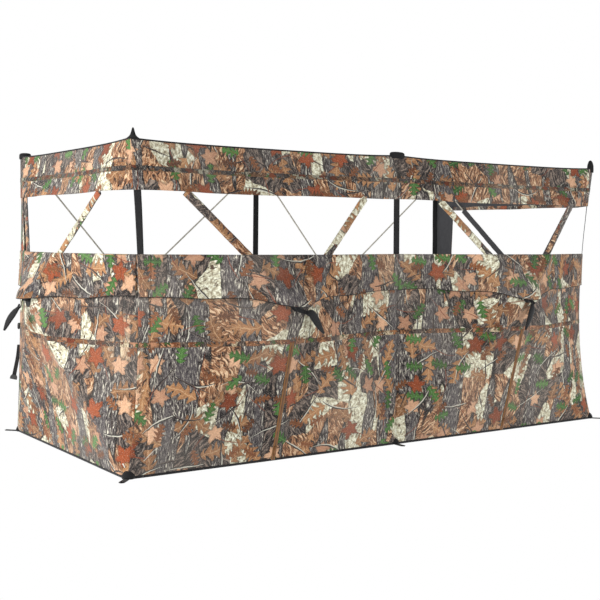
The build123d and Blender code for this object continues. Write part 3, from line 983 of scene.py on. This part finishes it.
def revolve(name, centre, profile, material, axis=(0, 0, 1), segments=40, squash=(1, 1)):
    """Solid turned about an axis from (radius, height) pairs, bottom first."""
    turn = Vector((0, 0, 1)).rotation_difference(Vector(axis)).to_matrix()
    angles = [math.tau * k / segments for k in range(segments)]
    vertices = [turn @ Vector((radius * math.cos(angle) * squash[0],
                               radius * math.sin(angle) * squash[1], height)) + Vector(centre)
                for radius, height in profile for angle in angles]
    faces = []
    for row in range(len(profile) - 1):
        for k in range(segments):
            a, b = row * segments + k, row * segments + (k + 1) % segments
            faces.append((a, b, b + segments, a + segments))
    faces.append(tuple(range(segments - 1, -1, -1)))
    faces.append(tuple(range(len(vertices) - segments, len(vertices))))
    mesh = bpy.data.meshes.new(name)
    mesh.from_pydata(vertices, [], faces)
    layer = mesh.uv_layers.new(name="cloth")
    spots = np.array([vertices[loop.vertex_index] for loop in mesh.loops])
    layer.data.foreach_set("uv", (spots[:, :2] + spots[:, 2:] * 0.7).astype(np.float32).ravel())
    mesh.polygons.foreach_set("use_smooth", [len(f) == 4 for f in faces])
    mesh.update()
    return add_object(name, mesh, [material])


def ring_profile(bore, wire, count=12):
    """Closed outline of a ring's section, for revolve."""
    turns = [math.tau * k / count for k in range(count + 1)]
    return [(bore + wire + wire * math.cos(t), wire * math.sin(t)) for t in turns]


# ---------------------------------------------------------------- sleeves on the upper poles
SLEEVE_WIDTH, SLEEVE_DEPTH = 0.044, 0.017


def outward_of(wall):
    """Unit vector out of a wall."""
    return np.array([*wall["n"], 0.0])


def pole_direction(joint, wall):
    """The way a pole points, from its joint."""
    flat = np.cross(outward_of(wall), np.array(joint["axis"]))
    lean = math.radians((joint["range_deg"][1] - 1) / 2)
    return flat * math.cos(lean) - outward_of(wall) * math.sin(lean)


def bulged(value, power):
    """A circle's sine or cosine, flattened or sharpened."""
    return np.sign(value) * np.abs(value) ** power


def build_sleeves():
    """Printed sleeves on the upper poles; the back wall's poles are left bare."""
    for name, joint in JOINTS.items():
        if "_upper_" not in name or name.startswith("back"):
            continue
        wall = WALLS[name.split("_")[0]]
        pin, axis = np.array(joint["pos_m"]), np.array(joint["axis"])
        along = pole_direction(joint, wall)
        low = (wall["sill"] - 0.05 - pin[2]) / along[2]
        high = (wall["head"] - 0.004 - pin[2]) / along[2]
        outward = np.cross(axis, along)
        outward = outward * np.sign(outward @ outward_of(wall))
        seed = sum(map(ord, name))
        row, angle = np.meshgrid(np.linspace(low, high, 30), np.linspace(0, math.tau, 25),
                                 indexing="ij")
        pucker = 1 + 0.06 * lattice(row * 24 + seed % 13, angle * 1.3, seed)
        wide = bulged(np.cos(angle), 0.8) * SLEEVE_WIDTH / 2 * pucker
        deep = (bulged(np.sin(angle), 1.2) * SLEEVE_DEPTH / 2 * pucker
                + 0.0012 * lattice(row * 40, angle * 2, seed + 1))
        points = pin + along * row[..., None] + axis * wide[..., None] + outward * deep[..., None]
        if np.cross(axis, outward) @ along < 0:
            points, angle = points[:, ::-1], angle[:, ::-1]
        uv = np.stack([angle * 0.016 + seed % 17, row + seed % 7], axis=-1)

        def inward(number, i, j):
            return 1 if math.sin((angle[0, j] + angle[0, j + 1]) / 2) < -0.05 else 0
        sleeve = name.replace("_rod_swing", "_sleeve")
        piece = thick_grid(sleeve, [(points, uv)], [CAMO, LINING, LINING], inward, 0.0012, 2)
        settle(piece, joint["child"])
        float(high - low)


# ---------------------------------------------------------------- webbing across the windows
WEB = 0.040                  # width of the black webbing
WEB_EDGE = 0.004             # and its edge to the corner
BACK_EDGE = 0.145            # cloth left beside an end wall's window, at its back end


def edge_grid(wall, step, ends, low, high, lift, shift=0.0):
    """Strip along a wall's edge: ends are its two edges, in metres from the panel's middle."""
    half = wall["panel"] / 2
    side, z = np.meshgrid(np.linspace(min(ends) / half, max(ends) / half, 6),
                          np.linspace(low, high, 40))
    u, _, n = surface(wall, step, side, z)
    bow = 0.004 * lattice(z * 4, 0 * z + 2.5, wall["seed"] + 60)
    return world(wall, u, z, n + lift + bow), np.stack([side * half + shift, z + shift], axis=-1)


def build_webbing():
    """Webbing over the corners and middle seams, and cloth beside the back corners."""
    for wall_name in ("front", "back"):
        wall = WALLS[wall_name]
        half = wall["panel"] / 2
        low, high = wall["sill"] - 0.09, wall["head"] + 0.06
        strips = {"left": (-1, (WEB_EDGE - half, WEB_EDGE + WEB - half)),
                  "right": (1, (half - WEB_EDGE - WEB, half - WEB_EDGE))}
        if wall_name == "front":
            strips["right"] = (1, (half - 0.016, half - 0.002))
        grids = {end: edge_grid(wall, step, ends, low, high, -0.004)
                 for end, (step, ends) in strips.items()}
        u, z = np.meshgrid(np.linspace(-0.021, 0.021, 6), np.linspace(low, high, 24))
        grids["middle"] = world(wall, u, z, 0 * u - 0.004), np.stack([u, z], axis=-1)
        for end, grid in grids.items():
            black_webbing(f"{wall_name}_{end}_webbing", [grid], wall["body"],
                          f"{wall_name}_corner_webbing")
    for wall_name, side in (("left", -1), ("right", 1)):
        wall = WALLS[wall_name]
        half = wall["panel"] / 2
        grid = edge_grid(wall, 0, (side * (half - 0.001), side * (half - BACK_EDGE)),
                         wall["sill"] - 0.03, wall["head"] + 0.03, -0.003, 2.6 + side)
        piece = thick_grid(f"{wall_name}_back_edge_cloth", [grid], [CAMO, LINING], plain,
                           WEB_THICKNESS)
        settle(piece, wall["body"], None, [grid])


# ---------------------------------------------------------------- pull straps on the hubs
# folded strap as (along the wall, up, outward) steps from the bail, metres
STRAP_PATHS = {
    "front_left": [(0.034, -0.042, 0.014), (0.066, -0.052, 0.018), (0.108, -0.100, 0.012),
                   (0.152, -0.152, 0.000)],
    "front_right": [(0.004, -0.036, 0.012), (0.000, -0.080, 0.012), (-0.018, -0.142, 0.006),
                    (-0.036, -0.196, -0.006)],
    "left": [(-0.004, -0.034, 0.022), (-0.016, -0.066, 0.048), (-0.030, -0.108, 0.072),
             (-0.040, -0.162, 0.092)],
    "right": [(0.000, -0.014, 0.006), (0.006, -0.060, 0.022), (0.012, -0.110, 0.030),
              (0.010, -0.165, 0.024)],
    "back_right": [(0.000, -0.014, 0.004), (0.010, -0.064, 0.010), (0.016, -0.120, 0.004),
                   (0.012, -0.176, -0.008)],
    "back_left": [(0.000, -0.014, 0.004), (-0.012, -0.062, 0.008), (-0.020, -0.118, 0.004),
                  (-0.016, -0.172, -0.008)],
}
STRAP_ROWS = 28
STRAP_WIDTHS = (0.022, 0.032, 0.046, 0.050, 0.049, 0.044, 0.032, 0.014)


def build_straps():
    """On each hub's bail a short tab, a ring and the folded pull strap."""
    for wall, panel, step in every_panel():
        body = JOINTS[f"{panel}_strap_swing"]["child"]
        outward = outward_of(wall)

        def by_bail(along, up, out):
            return world(wall, step * wall["half"] / 2 + along, HUB_Z + up, BAIL_N + out)

        steps = STRAP_PATHS[panel]
        path = smooth_path([by_bail(*point) for point in steps], STRAP_ROWS)
        slope = unit(np.gradient(path, axis=0))
        lean = np.linspace(0.0, 0.35, STRAP_ROWS)[:, None]
        across = unit(unit(np.cross(slope, outward)) * np.cos(lean) + outward * np.sin(lean))
        width = np.interp(np.linspace(0, 7, STRAP_ROWS), range(8), STRAP_WIDTHS)
        gap = 0.0035 * np.sin(np.linspace(0, math.pi, STRAP_ROWS))[:, None]
        grids = [path_grid(path, across, width, 7, 0.007),
                 path_grid(path - np.cross(across, slope) * gap, across, width * 0.9, 7, 0.002)]
        black_webbing(f"{panel}_folded_strap", grids, body, f"{panel}_pull_strap",
                      0.002)
        ring_u, ring_z, ring_n = steps[0]
        tab = smooth_path([by_bail(-0.024, 0.004, -0.002), by_bail(-0.012, ring_z * 0.6, 0.010),
                           by_bail(ring_u, ring_z, 0.014)], 12)
        up = np.array([0.0, 0.0, 0.9]) + 0.4 * np.array([*wall["u"], 0.0])
        black_webbing(f"{panel}_strap_tab", [path_grid(tab, up, 0.022, 5, 0.001)], body,
                      f"{panel}_pull_strap", 0.003)
        ring_axis = unit(outward * 0.9 + np.array([0, 0, 0.3]))
        settle(revolve(f"{panel}_strap_ring", by_bail(ring_u, ring_z + 0.001, ring_n + 0.006),
                       ring_profile(0.0075, 0.0024), STEEL, ring_axis, 36), body)


# ---------------------------------------------------------------- pole pockets and foot pads
SPIKE = [(0.031, -0.022), (0.032, -0.010), (0.030, 0.000), (0.022, 0.006), (0.015, 0.014),
         (0.0105, 0.026), (0.0070, 0.039), (0.0045, 0.048), (0.002, 0.0515)]
FLAT = [(0.042, -0.020), (0.044, -0.008), (0.043, 0.006), (0.040, 0.012), (0.031, 0.016),
        (0.012, 0.018), (0.002, 0.0185)]
BULLET = [(0.020, -0.030), (0.021, -0.010), (0.0205, 0.012), (0.018, 0.026), (0.013, 0.040),
          (0.007, 0.048), (0.002, 0.0505)]
BOOT = [(0.054, 0.0065), (0.056, 0.014), (0.050, 0.026), (0.038, 0.036), (0.022, 0.043),
        (0.008, 0.047), (0.002, 0.0475)]
POCKETS = {  # place along x and y as shares, profile, what it is squashed to, inset
    "front_left": (-1, -1, SPIKE, (1, 1), 0.030),
    "front_middle": (0, -1, FLAT, (1.25, 0.36), 0.004),
    "front_right": (1, -1, BULLET, (1, 1), 0.012),
    "back_left": (-1, 1, FLAT, (0.8, 0.8), 0.022),
    "back_middle": (0, 1, FLAT, (1.25, 0.36), 0.004),
    "back_right": (1, 1, FLAT, (0.8, 0.8), 0.022),
}
EYELET_REACH = 0.066         # from the corner out to a stake eyelet


LOOP_WIDTH = 0.029           # webbing of a stake loop
LOOP_Z = 0.0085


def build_pockets():
    """Pocket over the poles' tips, and on the foot a boot and a loop with a stake eyelet."""
    for name, (sx, sy, profile, squash, inset) in POCKETS.items():
        wall = WALLS["front" if sy < 0 else "back"]
        boot_size, boot_inset = (0.60, 0.020) if sx else (0.56, 0.018)
        seat = Vector((sx * HALF_LONG, sy * HALF_END, LOOP_Z))
        out = Vector((sx, sy, 0)).normalized()
        side = Vector((-out.y, out.x, 0))
        rows = []
        for run in np.linspace(EYELET_REACH + 0.013, -0.030, 14):
            round_end = max(0, (run - EYELET_REACH) / 0.0132)
            wide = LOOP_WIDTH / 2 * math.sqrt(max(0.02, 1 - round_end ** 2))
            rows.append([list(seat + out * run + side * (wide * s)) for s in np.linspace(-1, 1, 9)])
        grid = (np.array(rows), np.array(rows)[..., :2].copy())
        parts = [
            revolve(f"{name}_pole_pocket", (sx * (HALF_LONG - inset), sy * (HALF_END - inset), TOP),
                    profile, POCKET, squash=squash),
            revolve(f"{name}_boot",
                    (sx * (HALF_LONG - boot_inset), sy * (HALF_END - boot_inset), 0.0),
                    [(radius * boot_size, height) for radius, height in BOOT], POCKET),
            thick_grid(f"{name}_stake_loop", [grid], [WEBBING, WEBBING], plain, 0.003),
            revolve(f"{name}_stake_eyelet", seat + out * EYELET_REACH,
                    ring_profile(0.0050, 0.0018), STEEL)]
        for part in parts:
            settle(part, wall["body"], f"{wall['name']}_pockets_and_pads")
        declare_sheet([grid])


# ---------------------------------------------------------------- door zips
# a zip's cross-section: distance from the middle and height of tape and coil, metres
ZIP_SECTION = [(-0.012, 0), (-0.008, 0.0004), (-0.0036, 0.0004), (-0.003, 0.0015),
               (-0.0016, 0.002), (-0.0004, 0.0009), (0.0004, 0.0009), (0.0016, 0.002),
               (0.003, 0.0015), (0.0036, 0.0004), (0.008, 0.0004), (0.012, 0)]


def build_zips():
    """Zip of each front door, up the middle of its panel."""
    wall = WALLS["front"]
    offsets, ridge = np.array(ZIP_SECTION).T

    def coil(number, row, column):
        return 1 if 2 <= column <= 8 else 0

    for panel, step in wall["panels"].items():
        side, z = np.meshgrid(offsets / (wall["panel"] / 2),
                              np.linspace(HEM_Z + 0.004, SEAM_LEVEL - 0.004, 90))
        u, height, n = surface(wall, step, side, z)
        grid = (world(wall, u, height, n + 0.0022 + ridge[None, :]),
                np.stack([side * wall["panel"] / 2, z], axis=-1))
        piece = thick_grid(f"{panel}_door_zip", [grid], [ZIP_TAPE, ZIP_COIL, ZIP_TAPE],
                           coil, 0.0012, 2)
        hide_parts("door_zips")
        declare_sheet([grid])
        hub_blend(piece, wall, panel, step, (0.0, 0.0))


# ---------------------------------------------------------------- tie strap and toggle
# tie strap as (along the wall from its back end, height, outward) points, metres
TIE_PATH = [(-0.006, 0.520, 0.002), (-0.008, 0.450, 0.008), (-0.012, 0.385, 0.018),
            (-0.016, 0.335, 0.026)]
BUCKLE = [(-0.013, 0.0), (-0.021, -0.012), (-0.021, -0.028), (0.021, -0.028), (0.021, -0.012),
          (0.013, 0.0)]
TOGGLE = [(0.003, -0.019), (0.0075, -0.014), (0.0085, 0.0), (0.0075, 0.014), (0.003, 0.019)]
TOGGLE_Z = 0.632


def build_tie():
    """Tie strap with its ladder lock, and the toggle above it, at the back left corner."""
    wall = WALLS["left"]

    def by_seam(along, z, out):
        drawn = BACK_PULL * wall["pull_n"] * float(seam_share(z))
        return world(wall, 0.006 - HALF_END + along, z, out - drawn)

    path = smooth_path([by_seam(*point) for point in TIE_PATH], 20)
    across = Vector((*wall["u"], 0)) * 0.56 - Vector((*wall["n"], 0)) * 0.83
    grid = path_grid(path, across, np.linspace(0.022, 0.025, 20), 5, 0.002)
    black_webbing("corner_tie_strap", [grid], wall["body"], "corner_tie_tape", 0.002)

    end, slope = Vector(path[-1]), Vector(path[-1] - path[-4]).normalized()
    across = (across - slope * across.dot(slope)).normalized()
    face = across.cross(slope)
    count = len(BUCKLE)
    vertices = [end - slope * (0.006 + y) + across * x + face * t
                for t in (-0.004, 0.004) for x, y in BUCKLE]
    faces = [tuple(range(count - 1, -1, -1)), tuple(range(count, 2 * count))]
    faces += [(k, (k + 1) % count, (k + 1) % count + count, k + count) for k in range(count)]
    mesh = bpy.data.meshes.new("corner_tie_buckle")
    mesh.from_pydata(vertices, [], faces)
    buckle = add_object("corner_tie_buckle", mesh, [HUB_PLASTIC])
    bevel = buckle.modifiers.new("rounded", "BEVEL")
    bevel.width, bevel.segments = 0.002, 3
    settle(buckle, wall["body"])
    toggle = revolve("corner_toggle", by_seam(-0.004, TOGGLE_Z, 0.006), TOGGLE, HUB_PLASTIC)
    settle(toggle, wall["body"])


build_sleeves()
build_webbing()
build_straps()
build_pockets()
build_zips()
build_tie()

# ---------------------------------------------------------------- looks of the CAD pieces
CAD_LOOKS = (("_rod", FIBREGLASS), ("_hub", HUB_PLASTIC), ("_zip_slider", SLIDER_METAL))
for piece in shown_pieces():
    for ending, look in CAD_LOOKS:
        if piece.name.endswith(ending) and piece.type == "MESH":
            piece.data.materials.clear()
            piece.data.materials.append(look)

# ================================================================ camera, light, floor
CAMERA_YAW, CAMERA_PITCH, CAMERA_ROLL = (math.radians(a) for a in (34.342, 0.608, 0.475))
CAMERA_PLACE = (-3.8468, -5.4129, 1.1646)
SENSOR = 36.0
FOCAL_SHARE = 1055.25 / 600          # focal length over image width
SHIFT_Y = -71.85 / 600
camera_data = bpy.data.cameras.new("camera")
camera = add_object("camera", camera_data)
bpy.context.scene.camera = camera
camera_data.sensor_width = SENSOR
camera_data.lens = SENSOR * FOCAL_SHARE
camera_data.shift_y = SHIFT_Y
ahead = Vector((math.sin(CAMERA_YAW) * math.cos(CAMERA_PITCH),
                math.cos(CAMERA_YAW) * math.cos(CAMERA_PITCH), math.sin(CAMERA_PITCH)))
level = Vector((math.cos(CAMERA_YAW), -math.sin(CAMERA_YAW), 0))
upward = level.cross(ahead)
right = level * math.cos(CAMERA_ROLL) + upward * math.sin(CAMERA_ROLL)
upward = upward * math.cos(CAMERA_ROLL) - level * math.sin(CAMERA_ROLL)
turn = Matrix((right, upward, -ahead)).transposed().to_4x4()
camera.matrix_world = Matrix.Translation(CAMERA_PLACE) @ turn

floor_mesh = bpy.data.meshes.new("floor")
floor_mesh.from_pydata([(-30, -30, 0), (30, -30, 0), (30, 30, 0), (-30, 30, 0)], [],
                       [(0, 1, 2, 3)])
floor_material, n = new_material("pale_floor")
glow = n.new("ShaderNodeEmission")
glow.inputs[0].default_value = (1, 1, 1, 1)
glow.inputs[1].default_value = 1.0
n.finish(glow.outputs[0])
add_object("floor", floor_mesh, [floor_material])

# white to look at, dimmer as a light
SKY_LIGHT = 0.38
sky = bpy.data.worlds.new("studio")
bpy.context.scene.world = sky
sky.use_nodes = True
n = Nodes(sky.node_tree)
background = sky.node_tree.nodes["Background"]
background.inputs[0].default_value = (1, 1, 1, 1)
seen = Wire(n, n.new("ShaderNodeLightPath").outputs["Is Camera Ray"])
n.put(background.inputs[1], seen * (1.0 - SKY_LIGHT) + SKY_LIGHT)


def area_light(name, place, target, size, power):
    """Square soft light turned towards a point."""
    data = bpy.data.lights.new(name, "AREA")
    data.size = size
    data.energy = power
    lamp = add_object(name, data)
    lamp.location = place
    lamp.rotation_mode = "QUATERNION"
    lamp.rotation_quaternion = (Vector(target) - Vector(place)).to_track_quat("-Z", "Y")


area_light("left_key", (-7.2, -0.9, 2.4), (-1.6, 0, 0.8), 3.0, 455)
area_light("front_fill", (2.8, -7.8, 1.5), (1.3, -0.8, 0.9), 2.5, 215)

bpy.context.scene.view_settings.view_transform = "Standard"
